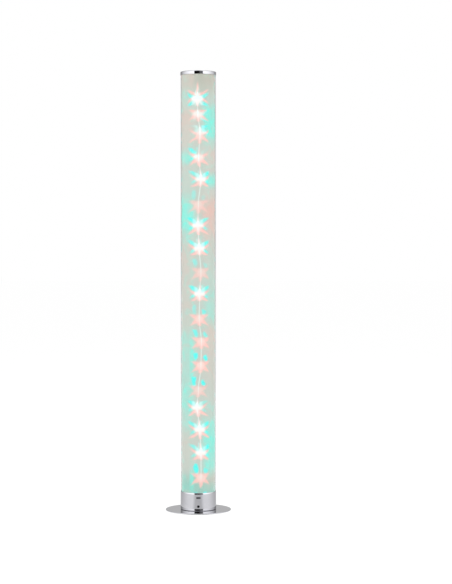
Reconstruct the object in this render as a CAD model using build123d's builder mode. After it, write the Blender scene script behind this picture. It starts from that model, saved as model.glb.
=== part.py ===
from build123d import *

import os
from math import radians, sqrt, tan

# Straight column floor lamp. A clear tube lined with a star-effect film stands in a
# chromed cup on a thin round foot plate, and a chromed cap closes its top. Inside, a
# square carrier holds a row of lights on each of its four sides, and the cup holds the
# board that drives them. Millimetres, +Z up, the front towards -Y, and the origin on
# the floor under the middle of the foot plate.

os.makedirs("parts", exist_ok=True)

# Tube and film
tube_length = 963.3
tube_diameter = 80.0
tube_wall = 1.5
film_thickness = 0.3
film_gap = 0.15
film_end_gap = 0.5

# Foot plate and the foam ring under it
plate_diameter = 150.0
plate_thickness = 2.5
plate_edge_radius = 0.8
pad_thickness = 0.6
pad_width = 23.0
pad_inset = 4.0

# Cup
cup_height = 41.6
cup_wall = 0.85
cup_floor = 1.0
cup_foot_radius = 1.5
cup_rim_height = 5.0
cup_rim_lip = 0.3
shell_gap = 0.15
tube_seat_depth = 5.0

# Cap
cap_height = 7.8
cap_top = 0.8
cap_edge_radius = 1.6
cap_foot_radius = 0.2

# Mouldings in the cup and in the top of the tube
seat_thickness = 2.5
seat_gap = 0.2
spigot_height = 6.0
spigot_wall = 1.5
spigot_gap = 0.2
collar_wall = 1.5
collar_gap = 0.15
collar_height = 8.0
plug_flange = 1.2
lead_slot_width = 11.0
lead_slot_depth = 3.2
lead_slot_gap = 0.7
lead_slot_corner = 1.0

# Legs of the lower moulding and the screws in them
leg_count = 4
leg_start_angle = 45.0
leg_wall_gap = 8.0
leg_radius = 4.0
screw_radius = 2.0
screw_length = 14.0
screw_hole_gap = 0.2
screw_thread_gap = 0.05
screw_head_radius = 4.0
screw_head_recess = 0.1
screw_drive_depth = 1.4
screw_drive_length = 4.4
screw_drive_width = 0.9
screw_end_gap = 2.0

# Light carrier, strips and lights
carrier_width = 16.0
carrier_wall = 1.2
carrier_corner = 1.0
carrier_end_gap = 1.0
strip_width = 10.0
strip_thickness = 0.4
strip_start = 2.5
light_count = 18
light_first = 33.5
light_last = 61.0
light_size = 5.0
light_height = 1.6
light_lens_radius = 2.0
light_lens_depth = 0.3
strip_tail = 20.0
link_height = 6.0
link_thickness = 0.2
link_overlap = 2.0
link_start = 10.0

# Controller board
board_thickness = 1.6
board_bottom_gap = 1.3
board_top_gap = 0.3
board_wall_distance = 12.15
rail_wall_gap = 2.4
rail_width = 4.4
rail_lap = 1.8
rail_cheek = 2.0
rail_gap = 0.15
rail_lift = 4.0

# Mode key and its switch
key_width = 10.0
key_height = 4.3
key_corner = 1.2
key_drop = 3.6
key_gap = 0.3
key_stand = 0.9
key_edge_radius = 0.4
key_travel = 0.8
key_flange_margin = 1.3
key_flange_rise = 0.95
key_flange_thickness = 1.2
key_flange_gap = 0.3
key_stem_radius = 2.6
switch_size = 6.0
switch_depth = 5.0
switch_bore_depth = 3.0
switch_bore_gap = 0.1
plunger_radius = 1.6
plunger_grip = 1.6
plunger_grip_gap = 0.05
plunger_engaged = 1.4
stem_switch_gap = 0.75

# Receiver eye and the receiver behind it
eye_radius = 3.0
eye_centre_height = 10.8
eye_gap = 0.1
eye_recess = 0.2
eye_flange_margin = 1.5
eye_flange_thickness = 1.0
eye_flange_gap = 0.15
receiver_width = 6.0
receiver_height = 7.0
receiver_depth = 4.0
receiver_dome_radius = 2.4
receiver_dome_gap = 0.35
receiver_pin_count = 3
receiver_pin_size = 0.5
receiver_pin_pitch = 2.54
receiver_pin_drop = 2.0

# Low-voltage inlet
inlet_centre_height = 13.0
inlet_radius = 4.0
inlet_length = 13.0
inlet_flange_radius = 5.5
inlet_flange_thickness = 2.0
inlet_flange_chamfer = 0.5
inlet_stand = 0.05
inlet_hole_gap = 0.15
inlet_bore_radius = 2.8
inlet_bore_depth = 9.5
inlet_pin_radius = 1.05
inlet_pin_length = 8.5
nut_flats = 11.0
nut_thickness = 2.5
nut_gap = 0.14
nut_thread_gap = 0.05
lug_length = 5.5
lug_width = 1.8
lug_thickness = 0.5
lug_spread = 5.0

# Connectors, leads and the pieces on the back of the board
socket_depth = 7.0
socket_height = 5.8
socket_wall = 0.7
socket_floor = 1.2
strip_contacts = 4
power_contacts = 2
contact_pitch = 2.5
contact_margin = 2.45
plug_gap = 0.1
plug_grip = 5.0
plug_length = 8.5
strip_socket_drop = 8.0
power_socket_height = 6.5
power_socket_side = -6.0
strip_lead_radius = 0.6
strip_lead_gap = 0.05
strip_lead_straight = 9.0
strip_lead_rise = 4.0
strip_lead_foot = 1.5
strip_lead_lap = 8.0
inlet_lead_radius = 0.8
inlet_lead_straight = 9.0
plug_lead_straight = 10.0
bend_share = 0.45
chip_side = 6.0
chip_height = 13.2
chip_length = 8.7
chip_width = 3.9
chip_thickness = 1.5
chip_leg_count = 7
chip_leg_width = 0.45
chip_leg_thickness = 0.4
chip_leg_span = 6.0
chip_leg_pitch = 1.27
transistor_side = 5.8
transistor_count = 3
transistor_pitch = 3.6
transistor_height = 6.0
transistor_length = 2.9
transistor_width = 1.3
transistor_thickness = 1.1
transistor_leg_width = 0.4
transistor_leg_span = 2.6
transistor_leg_thickness = 0.3
transistor_leg_pitch = 1.9
capacitor_side = -6.0
capacitor_height = 13.2
capacitor_radius = 3.15
capacitor_length = 7.0
capacitor_edge_radius = 0.5

# Heights and radii worked out from these
plate_bottom = pad_thickness
cup_bottom = plate_bottom + plate_thickness
cup_top = cup_bottom + cup_height
floor_top = cup_bottom + cup_floor
seat_top = cup_top - tube_seat_depth
seat_bottom = seat_top - seat_thickness
tube_top = seat_top + tube_length
lamp_top = tube_top + plug_flange + cap_top

tube_radius = tube_diameter / 2
shell_inner = tube_radius + shell_gap
cup_radius = shell_inner + cup_wall
bore_radius = tube_radius - tube_wall
film_outer = bore_radius - film_gap
film_inner = film_outer - film_thickness
spigot_radius = film_inner - spigot_gap

leg_circle_radius = shell_inner - leg_wall_gap - leg_radius
board_front = board_wall_distance - shell_inner
board_back = board_front + board_thickness
board_bottom = floor_top + board_bottom_gap
board_top = seat_bottom - board_top_gap

carrier_half = carrier_width / 2
collar_inner = carrier_width + 2 * collar_gap
collar_outer = collar_inner + 2 * collar_wall
lead_slot_centre = collar_outer / 2 + lead_slot_gap + lead_slot_depth / 2
light_pitch = (tube_length - light_first - light_last) / (light_count - 1)
light_middle = (seat_top + light_first + tube_top - light_last) / 2
strip_bottom = seat_top + collar_height + strip_start
strip_top = tube_top - light_last + strip_tail

key_centre = seat_bottom - key_drop
eye_centre = cup_bottom + eye_centre_height
inlet_centre = cup_bottom + inlet_centre_height
strip_socket_centre = seat_bottom - strip_socket_drop
power_socket_centre = cup_bottom + power_socket_height

sides = {"front": -90, "right": 0, "back": 90, "left": 180}


def upright_plane(angle, distance):
    """An upright plane that faces away from the lamp's axis, with its y along +Z."""
    turned = Plane.XZ.rotated((0, 0, angle + 90))
    return turned.offset(distance)


def wall_depth(radius, half_width):
    """How far a round wall lies from the axis at half_width to one side."""
    return sqrt(radius**2 - half_width**2)


def bend_radii(route):
    """The radius of the arc at each corner of a lead's route."""
    radii = []
    for before, corner, after in zip(route, route[1:], route[2:]):
        arriving = Vector(corner) - Vector(before)
        leaving = Vector(after) - Vector(corner)
        half_turn = radians(arriving.get_angle(leaving)) / 2
        radii.append(bend_share * min(arriving.length, leaving.length) / tan(half_turn))
    return radii


# Foam ring glued under the plate. The screw heads stay free inside it.
pad_outer = plate_diameter / 2 - pad_inset
with BuildPart() as foot_ring_pad:
    with BuildSketch():
        Circle(pad_outer)
        Circle(pad_outer - pad_width, mode=Mode.SUBTRACT)
    extrude(amount=pad_thickness)
foot_ring_pad.part.label = "foot_ring_pad"
export_step(foot_ring_pad.part, "parts/foot_ring_pad.step")


# Foot plate, with its edge rounded over and countersunk holes from below
with BuildPart() as foot_plate:
    with BuildSketch(Plane.XY.offset(plate_bottom)):
        Circle(plate_diameter / 2)
    extrude(amount=plate_thickness)
    fillet(foot_plate.edges(), plate_edge_radius)
    with Locations(Plane(origin=(0, 0, plate_bottom), z_dir=(0, 0, -1))):
        with PolarLocations(leg_circle_radius, leg_count, leg_start_angle):
            CounterSinkHole(
                radius=screw_radius + screw_hole_gap,
                counter_sink_radius=screw_head_radius + screw_hole_gap,
                counter_sink_angle=90,
            )
foot_plate.part.label = "foot_plate"
export_step(foot_plate.part, "parts/foot_plate.step")


# Countersunk screws with a cross drive
head_face = plate_bottom + screw_head_recess
head_top = head_face + screw_head_radius - screw_radius
with BuildPart() as plate_screws:
    for spot in PolarLocations(leg_circle_radius, leg_count, leg_start_angle):
        centre = spot.position
        with BuildSketch(Plane.XY.offset(head_face)):
            with Locations((centre.X, centre.Y)):
                Circle(screw_head_radius)
        extrude(amount=screw_head_radius - screw_radius, taper=45)
        with BuildSketch(Plane.XY.offset(head_top)):
            with Locations((centre.X, centre.Y)):
                Circle(screw_radius)
        extrude(amount=screw_length - (head_top - head_face))
        with BuildSketch(Plane.XY.offset(head_face)):
            with Locations((centre.X, centre.Y)):
                Rectangle(screw_drive_length, screw_drive_width)
                Rectangle(screw_drive_width, screw_drive_length)
        extrude(amount=screw_drive_depth, mode=Mode.SUBTRACT)
plate_screws.part.label = "plate_screws"
export_step(plate_screws.part, "parts/plate_screws.step")


# Cup. Its rim leans in to a thin lip against the tube.
with BuildPart() as base_cup:
    with BuildSketch(Plane.XZ):
        with BuildLine():
            Polyline(
                (0, floor_top),
                (0, cup_bottom),
                (cup_radius, cup_bottom),
                (cup_radius, cup_top - cup_rim_height),
            )
            TangentArc(
                (cup_radius, cup_top - cup_rim_height),
                (shell_inner + cup_rim_lip, cup_top),
                tangent=(0, 1),
            )
            Polyline(
                (shell_inner + cup_rim_lip, cup_top),
                (shell_inner, cup_top),
                (shell_inner, floor_top),
                (0, floor_top),
            )
        make_face()
    revolve(axis=Axis.Z)
    foot_edge = base_cup.edges().filter_by(GeomType.CIRCLE).group_by(Axis.Z)[0]
    fillet(foot_edge, cup_foot_radius)
    with BuildSketch(Plane.XY.offset(cup_bottom)):
        with PolarLocations(leg_circle_radius, leg_count, leg_start_angle):
            Circle(screw_radius + screw_hole_gap)
    extrude(amount=cup_floor, mode=Mode.SUBTRACT)
    with BuildSketch(upright_plane(sides["front"], cup_radius / 2)):
        with Locations((0, key_centre)):
            RectangleRounded(key_width, key_height, key_corner)
        with Locations((0, eye_centre)):
            Circle(eye_radius)
    extrude(amount=cup_radius, mode=Mode.SUBTRACT)
    with BuildSketch(upright_plane(sides["back"], cup_radius / 2)):
        with Locations((0, inlet_centre)):
            Circle(inlet_radius + inlet_hole_gap)
    extrude(amount=cup_radius, mode=Mode.SUBTRACT)
base_cup.part.label = "base_cup"
export_step(base_cup.part, "parts/base_cup.step")


# Lower moulding: seat for tube and film, collar for the carrier, screw legs and two
# grooved rails for the board
rail_half_depth = board_thickness / 2 + rail_gap + rail_cheek
board_middle = (board_front + board_back) / 2
rail_outer = wall_depth(shell_inner, rail_half_depth - board_middle) - rail_wall_gap
rail_inner = rail_outer - rail_width
board_width = 2 * (rail_inner + rail_lap)
rail_bottom = floor_top + rail_lift
with BuildPart() as base_chassis:
    with BuildSketch(Plane.XY.offset(seat_bottom)):
        Circle(shell_inner - seat_gap)
        with Locations((0, lead_slot_centre)):
            RectangleRounded(
                lead_slot_width,
                lead_slot_depth,
                lead_slot_corner,
                mode=Mode.SUBTRACT,
            )
    extrude(amount=seat_thickness)
    with BuildSketch(Plane.XY.offset(seat_top)):
        Circle(spigot_radius)
        Circle(spigot_radius - spigot_wall, mode=Mode.SUBTRACT)
    extrude(amount=spigot_height)
    with BuildSketch(Plane.XY.offset(seat_top)):
        Rectangle(collar_outer, collar_outer)
        Rectangle(collar_inner, collar_inner, mode=Mode.SUBTRACT)
    extrude(amount=collar_height)
    with BuildSketch(Plane.XY.offset(floor_top)):
        with PolarLocations(leg_circle_radius, leg_count, leg_start_angle):
            Circle(leg_radius)
    extrude(amount=seat_bottom - floor_top)
    with BuildSketch(Plane.XY.offset(rail_bottom)):
        for side in (-1, 1):
            with Locations((side * (rail_inner + rail_width / 2), board_middle)):
                Rectangle(rail_width, 2 * rail_half_depth)
        with Locations((0, board_middle)):
            Rectangle(
                board_width + 2 * rail_gap,
                board_thickness + 2 * rail_gap,
                mode=Mode.SUBTRACT,
            )
    extrude(amount=seat_bottom - rail_bottom)
    with BuildSketch(Plane.XY.offset(floor_top)):
        with PolarLocations(leg_circle_radius, leg_count, leg_start_angle):
            Circle(screw_radius + screw_thread_gap)
    extrude(amount=head_face + screw_length + screw_end_gap - floor_top, mode=Mode.SUBTRACT)
base_chassis.part.label = "base_chassis"
export_step(base_chassis.part, "parts/base_chassis.step")


# Clear outer tube
with BuildPart() as acrylic_tube:
    with BuildSketch(Plane.XY.offset(seat_top)):
        Circle(tube_radius)
        Circle(bore_radius, mode=Mode.SUBTRACT)
    extrude(amount=tube_length)
acrylic_tube.part.label = "acrylic_tube"
export_step(acrylic_tube.part, "parts/acrylic_tube.step")


# Star-effect film, rolled into a sleeve inside the tube
with BuildPart() as star_film:
    with BuildSketch(Plane.XY.offset(seat_top)):
        Circle(film_outer)
        Circle(film_inner, mode=Mode.SUBTRACT)
    extrude(amount=tube_length - film_end_gap)
star_film.part.label = "star_film"
export_step(star_film.part, "parts/star_film.step")


# Upper moulding: a flange on the tube's end, a ring inside the film and a collar that
# hangs over the carrier's end
with BuildPart() as top_plug:
    with BuildSketch(Plane.XY.offset(tube_top)):
        Circle(tube_radius)
    extrude(amount=plug_flange)
    with BuildSketch(Plane.XY.offset(tube_top)):
        Circle(spigot_radius)
        Circle(spigot_radius - spigot_wall, mode=Mode.SUBTRACT)
    extrude(amount=-spigot_height)
    with BuildSketch(Plane.XY.offset(tube_top)):
        Rectangle(collar_outer, collar_outer)
        Rectangle(collar_inner, collar_inner, mode=Mode.SUBTRACT)
    extrude(amount=-collar_height)
top_plug.part.label = "top_plug"
export_step(top_plug.part, "parts/top_plug.step")


# Cap, pressed over the tube's end on the upper moulding
with BuildPart() as top_cap:
    with BuildSketch(Plane.XY.offset(lamp_top - cap_height)):
        Circle(cup_radius)
    extrude(amount=cap_height)
    fillet(top_cap.edges().sort_by(Axis.Z)[-1], cap_edge_radius)
    with BuildSketch(Plane.XY.offset(lamp_top - cap_height)):
        Circle(shell_inner)
    extrude(amount=cap_height - cap_top, mode=Mode.SUBTRACT)
    foot_edge = top_cap.edges().group_by(Axis.Z)[0].sort_by(SortBy.RADIUS)[-1]
    fillet(foot_edge, cap_foot_radius)
top_cap.part.label = "top_cap"
export_step(top_cap.part, "parts/top_cap.step")


# Square carrier tube between the two collars
carrier_length = tube_top - seat_top - carrier_end_gap
with BuildPart() as led_carrier:
    with BuildSketch(Plane.XY.offset(seat_top)):
        RectangleRounded(carrier_width, carrier_width, carrier_corner)
        inside = carrier_width - 2 * carrier_wall
        Rectangle(inside, inside, mode=Mode.SUBTRACT)
    extrude(amount=carrier_length)
led_carrier.part.label = "led_carrier"
export_step(led_carrier.part, "parts/led_carrier.step")


# One strip on each side of the carrier, and its row of lights
for name, angle in sides.items():
    with BuildPart() as led_strip:
        with BuildSketch(upright_plane(angle, carrier_half)):
            with Locations((0, (strip_bottom + strip_top) / 2)):
                Rectangle(strip_width, strip_top - strip_bottom)
        extrude(amount=strip_thickness)
    led_strip.part.label = f"led_strip_{name}"
    export_step(led_strip.part, f"parts/led_strip_{name}.step")

    strip_face = carrier_half + strip_thickness
    with BuildPart() as led_chips:
        with BuildSketch(upright_plane(angle, strip_face)):
            with Locations((0, light_middle)):
                with GridLocations(light_size, light_pitch, 1, light_count):
                    Rectangle(light_size, light_size)
        extrude(amount=light_height)
        with BuildSketch(upright_plane(angle, strip_face + light_height)):
            with Locations((0, light_middle)):
                with GridLocations(light_size, light_pitch, 1, light_count):
                    Circle(light_lens_radius)
        extrude(amount=-light_lens_depth, mode=Mode.SUBTRACT)
    led_chips.part.label = f"led_chips_{name}"
    export_step(led_chips.part, f"parts/led_chips_{name}.step")


# Flexible links that join neighbouring strips round three corners of the carrier
link_inner = carrier_width + 2 * strip_thickness
link_outer = link_inner + 2 * link_thickness
link_reach = strip_width / 2 - link_overlap
link_middle = (link_reach + link_outer / 2) / 2
link_span = link_outer / 2 - link_reach
with BuildPart() as corner_links:
    with BuildSketch(Plane.XY.offset(strip_bottom + link_start)):
        for across, along in ((-1, 1), (1, 1), (1, -1)):
            with Locations((across * link_middle, along * link_middle)):
                Rectangle(link_span, link_span)
        Rectangle(link_inner, link_inner, mode=Mode.SUBTRACT)
    extrude(amount=link_height)
corner_links.part.label = "corner_links"
export_step(corner_links.part, "parts/corner_links.step")


# Controller board, standing in the rails
with BuildPart() as controller_board:
    with BuildSketch(upright_plane(sides["front"], -board_back)):
        with Locations((0, (board_bottom + board_top) / 2)):
            Rectangle(board_width, board_top - board_bottom)
    extrude(amount=board_thickness)
controller_board.part.label = "controller_board"
export_step(controller_board.part, "parts/controller_board.step")


# Push switch on the front of the board, with a bore for its plunger
switch_front = board_front - switch_depth
with BuildPart() as switch_body:
    with BuildSketch(upright_plane(sides["front"], -board_front)):
        with Locations((0, key_centre)):
            Rectangle(switch_size, switch_size)
    extrude(amount=switch_depth)
    with BuildSketch(upright_plane(sides["front"], -switch_front)):
        with Locations((0, key_centre)):
            Circle(plunger_radius + switch_bore_gap)
    extrude(amount=-switch_bore_depth, mode=Mode.SUBTRACT)
switch_body.part.label = "switch_body"
export_step(switch_body.part, "parts/switch_body.step")


# Key. It fills the cup's slot, is kept in by a flange and grips the switch's plunger.
key_flange_width = key_width + 2 * key_flange_margin
key_flange_front = -wall_depth(shell_inner, key_flange_width / 2) + key_flange_gap
key_face = -cup_radius - key_stand
stem_end = switch_front - key_travel - stem_switch_gap
with BuildPart() as mode_button:
    with BuildSketch(upright_plane(sides["front"], -key_flange_front)):
        with Locations((0, key_centre)):
            RectangleRounded(key_width - 2 * key_gap, key_height - 2 * key_gap, key_corner - key_gap)
    extrude(amount=key_flange_front - key_face)
    fillet(mode_button.faces().sort_by(Axis.Y)[0].edges(), key_edge_radius)
    with BuildSketch(upright_plane(sides["front"], -key_flange_front)):
        with Locations((0, key_centre)):
            RectangleRounded(key_flange_width, key_height + 2 * key_flange_rise, key_corner)
    extrude(amount=-key_flange_thickness)
    with BuildSketch(upright_plane(sides["front"], -key_flange_front - key_flange_thickness)):
        with Locations((0, key_centre)):
            Circle(key_stem_radius)
    extrude(amount=key_flange_front + key_flange_thickness - stem_end)
    with BuildSketch(upright_plane(sides["front"], -stem_end)):
        with Locations((0, key_centre)):
            Circle(plunger_radius + plunger_grip_gap)
    extrude(amount=plunger_grip, mode=Mode.SUBTRACT)
mode_button.part.label = "mode_button"
export_step(mode_button.part, "parts/mode_button.step")


# Plunger of the switch, which moves with the key
plunger_tip = stem_end - plunger_grip
plunger_end = switch_front + plunger_engaged
with BuildPart() as switch_plunger:
    with BuildSketch(upright_plane(sides["front"], -plunger_end)):
        with Locations((0, key_centre)):
            Circle(plunger_radius)
    extrude(amount=plunger_end - plunger_tip)
switch_plunger.part.label = "switch_plunger"
export_step(switch_plunger.part, "parts/switch_plunger.step")


# Dark eye in the round hole, with a flange behind the wall
eye_flange_radius = eye_radius + eye_flange_margin
eye_flange_front = -wall_depth(shell_inner, eye_flange_radius) + eye_flange_gap
eye_face = -cup_radius + eye_recess
with BuildPart() as ir_window:
    with BuildSketch(upright_plane(sides["front"], -eye_flange_front)):
        with Locations((0, eye_centre)):
            Circle(eye_radius - eye_gap)
    extrude(amount=eye_flange_front - eye_face)
    with BuildSketch(upright_plane(sides["front"], -eye_flange_front)):
        with Locations((0, eye_centre)):
            Circle(eye_flange_radius)
    extrude(amount=-eye_flange_thickness)
ir_window.part.label = "ir_window"
export_step(ir_window.part, "parts/ir_window.step")


# Receiver with a domed face behind the eye, on three pins from the board
dome_tip = eye_flange_front + eye_flange_thickness + receiver_dome_gap
receiver_front = dome_tip + receiver_dome_radius
receiver_back = receiver_front + receiver_depth
with BuildPart() as ir_receiver:
    with BuildSketch(upright_plane(sides["front"], -receiver_back)):
        with Locations((0, eye_centre)):
            Rectangle(receiver_width, receiver_height)
    extrude(amount=receiver_depth)
    with Locations((0, receiver_front, eye_centre)):
        Sphere(receiver_dome_radius)
    with BuildSketch(upright_plane(sides["front"], -board_front)):
        with Locations((0, eye_centre - receiver_pin_drop)):
            with GridLocations(receiver_pin_pitch, 1, receiver_pin_count, 1):
                Rectangle(receiver_pin_size, receiver_pin_size)
    extrude(amount=board_front - receiver_back)
ir_receiver.part.label = "ir_receiver"
export_step(ir_receiver.part, "parts/ir_receiver.step")


# Low-voltage inlet: a flanged barrel through the back of the cup
inlet_face = cup_radius + inlet_stand
inlet_mouth = inlet_face + inlet_flange_thickness
inlet_back = inlet_face - inlet_length
bore_end = inlet_mouth - inlet_bore_depth
with BuildPart() as inlet_body:
    with BuildSketch(upright_plane(sides["back"], inlet_back)):
        with Locations((0, inlet_centre)):
            Circle(inlet_radius)
    extrude(amount=inlet_length)
    with BuildSketch(upright_plane(sides["back"], inlet_face)):
        with Locations((0, inlet_centre)):
            Circle(inlet_flange_radius)
    extrude(amount=inlet_flange_thickness)
    rim = inlet_body.faces().sort_by(Axis.Y)[-1].edges()
    chamfer(rim, inlet_flange_chamfer)
    with BuildSketch(upright_plane(sides["back"], inlet_mouth)):
        with Locations((0, inlet_centre)):
            Circle(inlet_bore_radius)
    extrude(amount=-inlet_bore_depth, mode=Mode.SUBTRACT)
inlet_body.part.label = "inlet_body"
export_step(inlet_body.part, "parts/inlet_body.step")


# Centre pin of the inlet
with BuildPart() as inlet_pin:
    with BuildSketch(upright_plane(sides["back"], bore_end)):
        with Locations((0, inlet_centre)):
            Circle(inlet_pin_radius)
    extrude(amount=inlet_pin_length)
    fillet(inlet_pin.edges().sort_by(Axis.Y)[-1], inlet_pin_radius / 2)
inlet_pin.part.label = "inlet_pin"
export_step(inlet_pin.part, "parts/inlet_pin.step")


# Hexagon nut that pulls the inlet against the cup from inside
nut_front = wall_depth(shell_inner, nut_flats / sqrt(3)) - nut_gap
with BuildPart() as inlet_nut:
    with BuildSketch(upright_plane(sides["back"], nut_front)):
        with Locations((0, inlet_centre)):
            RegularPolygon(nut_flats / 2, 6, major_radius=False, rotation=30)
            Circle(inlet_radius + nut_thread_gap, mode=Mode.SUBTRACT)
    extrude(amount=-nut_thickness)
inlet_nut.part.label = "inlet_nut"
export_step(inlet_nut.part, "parts/inlet_nut.step")


# Two solder lugs at the back of the inlet
with BuildPart() as inlet_terminals:
    with BuildSketch(upright_plane(sides["back"], inlet_back)):
        with Locations((0, inlet_centre)):
            with GridLocations(lug_spread, 1, 2, 1):
                Rectangle(lug_width, lug_thickness)
    extrude(amount=-lug_length)
inlet_terminals.part.label = "inlet_terminals"
export_step(inlet_terminals.part, "parts/inlet_terminals.step")


# Sockets on the back of the board, open towards the back, and the plugs in them
connectors = {
    "strip": (0.0, strip_socket_centre, strip_contacts),
    "power": (power_socket_side, power_socket_centre, power_contacts),
}
plug_front = board_back + socket_depth - plug_grip
plug_back = plug_front + plug_length
for name, (across, height, contacts) in connectors.items():
    width = (contacts - 1) * contact_pitch + 2 * contact_margin
    with BuildPart() as socket:
        with BuildSketch(upright_plane(sides["back"], board_back)):
            with Locations((-across, height)):
                Rectangle(width, socket_height)
        extrude(amount=socket_depth)
        with BuildSketch(upright_plane(sides["back"], board_back + socket_floor)):
            with Locations((-across, height)):
                Rectangle(width - 2 * socket_wall, socket_height - 2 * socket_wall)
        extrude(amount=socket_depth, mode=Mode.SUBTRACT)
    socket.part.label = f"{name}_socket"
    export_step(socket.part, f"parts/{name}_socket.step")

    plug_margin = 2 * (socket_wall + plug_gap)
    with BuildPart() as plug:
        with BuildSketch(upright_plane(sides["back"], plug_front)):
            with Locations((-across, height)):
                Rectangle(width - plug_margin, socket_height - plug_margin)
        extrude(amount=plug_length)
    plug.part.label = f"{name}_plug"
    export_step(plug.part, f"parts/{name}_plug.step")


# Four leads from the strip plug, up through the slot in the seat to the back strip
strip_lead_end = carrier_half + strip_thickness + strip_lead_gap + strip_lead_radius
strip_route = [
    (plug_back, strip_socket_centre),
    (plug_back + strip_lead_straight, strip_socket_centre),
    (lead_slot_centre, strip_socket_centre - strip_lead_rise),
    (lead_slot_centre, seat_top + collar_height / 2),
    (strip_lead_end, strip_bottom + strip_lead_foot),
    (strip_lead_end, strip_bottom + strip_lead_lap),
]
strip_radii = bend_radii([(0, along, up) for along, up in strip_route])
print("strip lead bend radii", [round(radius, 1) for radius in strip_radii])
with BuildPart() as strip_leads:
    for lead in range(strip_contacts):
        across = (lead - (strip_contacts - 1) / 2) * contact_pitch
        with BuildLine() as route:
            FilletPolyline([(across, along, up) for along, up in strip_route], radius=strip_radii)
        with BuildSketch(Plane(origin=route.line @ 0, z_dir=route.line % 0)):
            Circle(strip_lead_radius)
        sweep()
strip_leads.part.label = "strip_leads"
export_step(strip_leads.part, "parts/strip_leads.step")


# Two leads from the inlet's lugs to the power plug
lug_end = inlet_back - lug_length
with BuildPart() as inlet_leads:
    for side in (-1, 1):
        start = side * lug_spread / 2
        finish = power_socket_side + side * contact_pitch / 2
        power_route = [
            (start, lug_end, inlet_centre),
            (start, lug_end - inlet_lead_straight, inlet_centre),
            (finish, plug_back + plug_lead_straight, power_socket_centre),
            (finish, plug_back, power_socket_centre),
        ]
        power_radii = bend_radii(power_route)
        print("inlet lead bend radii", [round(radius, 1) for radius in power_radii])
        with BuildLine() as route:
            FilletPolyline(power_route, radius=power_radii)
        with BuildSketch(Plane(origin=route.line @ 0, z_dir=route.line % 0)):
            Circle(inlet_lead_radius)
        sweep()
inlet_leads.part.label = "inlet_leads"
export_step(inlet_leads.part, "parts/inlet_leads.step")


# Controller chip with its gull-wing legs
with BuildPart() as control_chip:
    with BuildSketch(upright_plane(sides["back"], board_back)):
        with Locations((-chip_side, cup_bottom + chip_height)):
            Rectangle(chip_length, chip_width)
    extrude(amount=chip_thickness)
    with BuildSketch(upright_plane(sides["back"], board_back)):
        with Locations((-chip_side, cup_bottom + chip_height)):
            with GridLocations(chip_leg_pitch, 1, chip_leg_count, 1):
                Rectangle(chip_leg_width, chip_leg_span)
    extrude(amount=chip_leg_thickness)
control_chip.part.label = "control_chip"
export_step(control_chip.part, "parts/control_chip.step")


# Three driver transistors, one for each colour
with BuildPart() as driver_transistors:
    with BuildSketch(upright_plane(sides["back"], board_back)):
        with Locations((-transistor_side, cup_bottom + transistor_height)):
            with GridLocations(transistor_pitch, 1, transistor_count, 1):
                Rectangle(transistor_length, transistor_width)
    extrude(amount=transistor_thickness)
    with BuildSketch(upright_plane(sides["back"], board_back)):
        with Locations((-transistor_side, cup_bottom + transistor_height)):
            with GridLocations(transistor_pitch, 1, transistor_count, 1):
                with GridLocations(transistor_leg_pitch, 1, 2, 1):
                    Rectangle(transistor_leg_width, transistor_leg_span)
    extrude(amount=transistor_leg_thickness)
driver_transistors.part.label = "driver_transistors"
export_step(driver_transistors.part, "parts/driver_transistors.step")


# Smoothing capacitor
with BuildPart() as board_capacitor:
    with BuildSketch(upright_plane(sides["back"], board_back)):
        with Locations((-capacitor_side, cup_bottom + capacitor_height)):
            Circle(capacitor_radius)
    extrude(amount=capacitor_length)
    fillet(board_capacitor.edges().sort_by(Axis.Y)[-1], capacitor_edge_radius)
board_capacitor.part.label = "board_capacitor"
export_step(board_capacitor.part, "parts/board_capacitor.step")
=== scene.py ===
from math import atan2, cos, hypot, pi, radians, sin

import bmesh
import bpy
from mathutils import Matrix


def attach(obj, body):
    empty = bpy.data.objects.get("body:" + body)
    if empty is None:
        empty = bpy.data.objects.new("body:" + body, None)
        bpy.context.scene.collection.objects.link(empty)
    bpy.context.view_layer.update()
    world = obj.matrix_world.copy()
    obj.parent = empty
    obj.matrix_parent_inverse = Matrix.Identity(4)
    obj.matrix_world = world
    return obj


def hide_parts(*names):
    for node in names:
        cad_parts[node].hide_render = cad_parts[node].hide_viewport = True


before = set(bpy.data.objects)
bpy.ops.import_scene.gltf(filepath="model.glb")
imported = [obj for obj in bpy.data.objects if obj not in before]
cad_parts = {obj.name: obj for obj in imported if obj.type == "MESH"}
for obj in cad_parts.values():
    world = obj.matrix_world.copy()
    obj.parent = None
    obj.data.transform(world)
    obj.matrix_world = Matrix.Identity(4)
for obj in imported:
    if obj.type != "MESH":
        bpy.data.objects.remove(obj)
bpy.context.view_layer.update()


# Foam ring.
# It is punched from thin black closed-cell sheet and stuck under the plate, where it
# keeps the steel off the floor.
mm = 0.001


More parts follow.
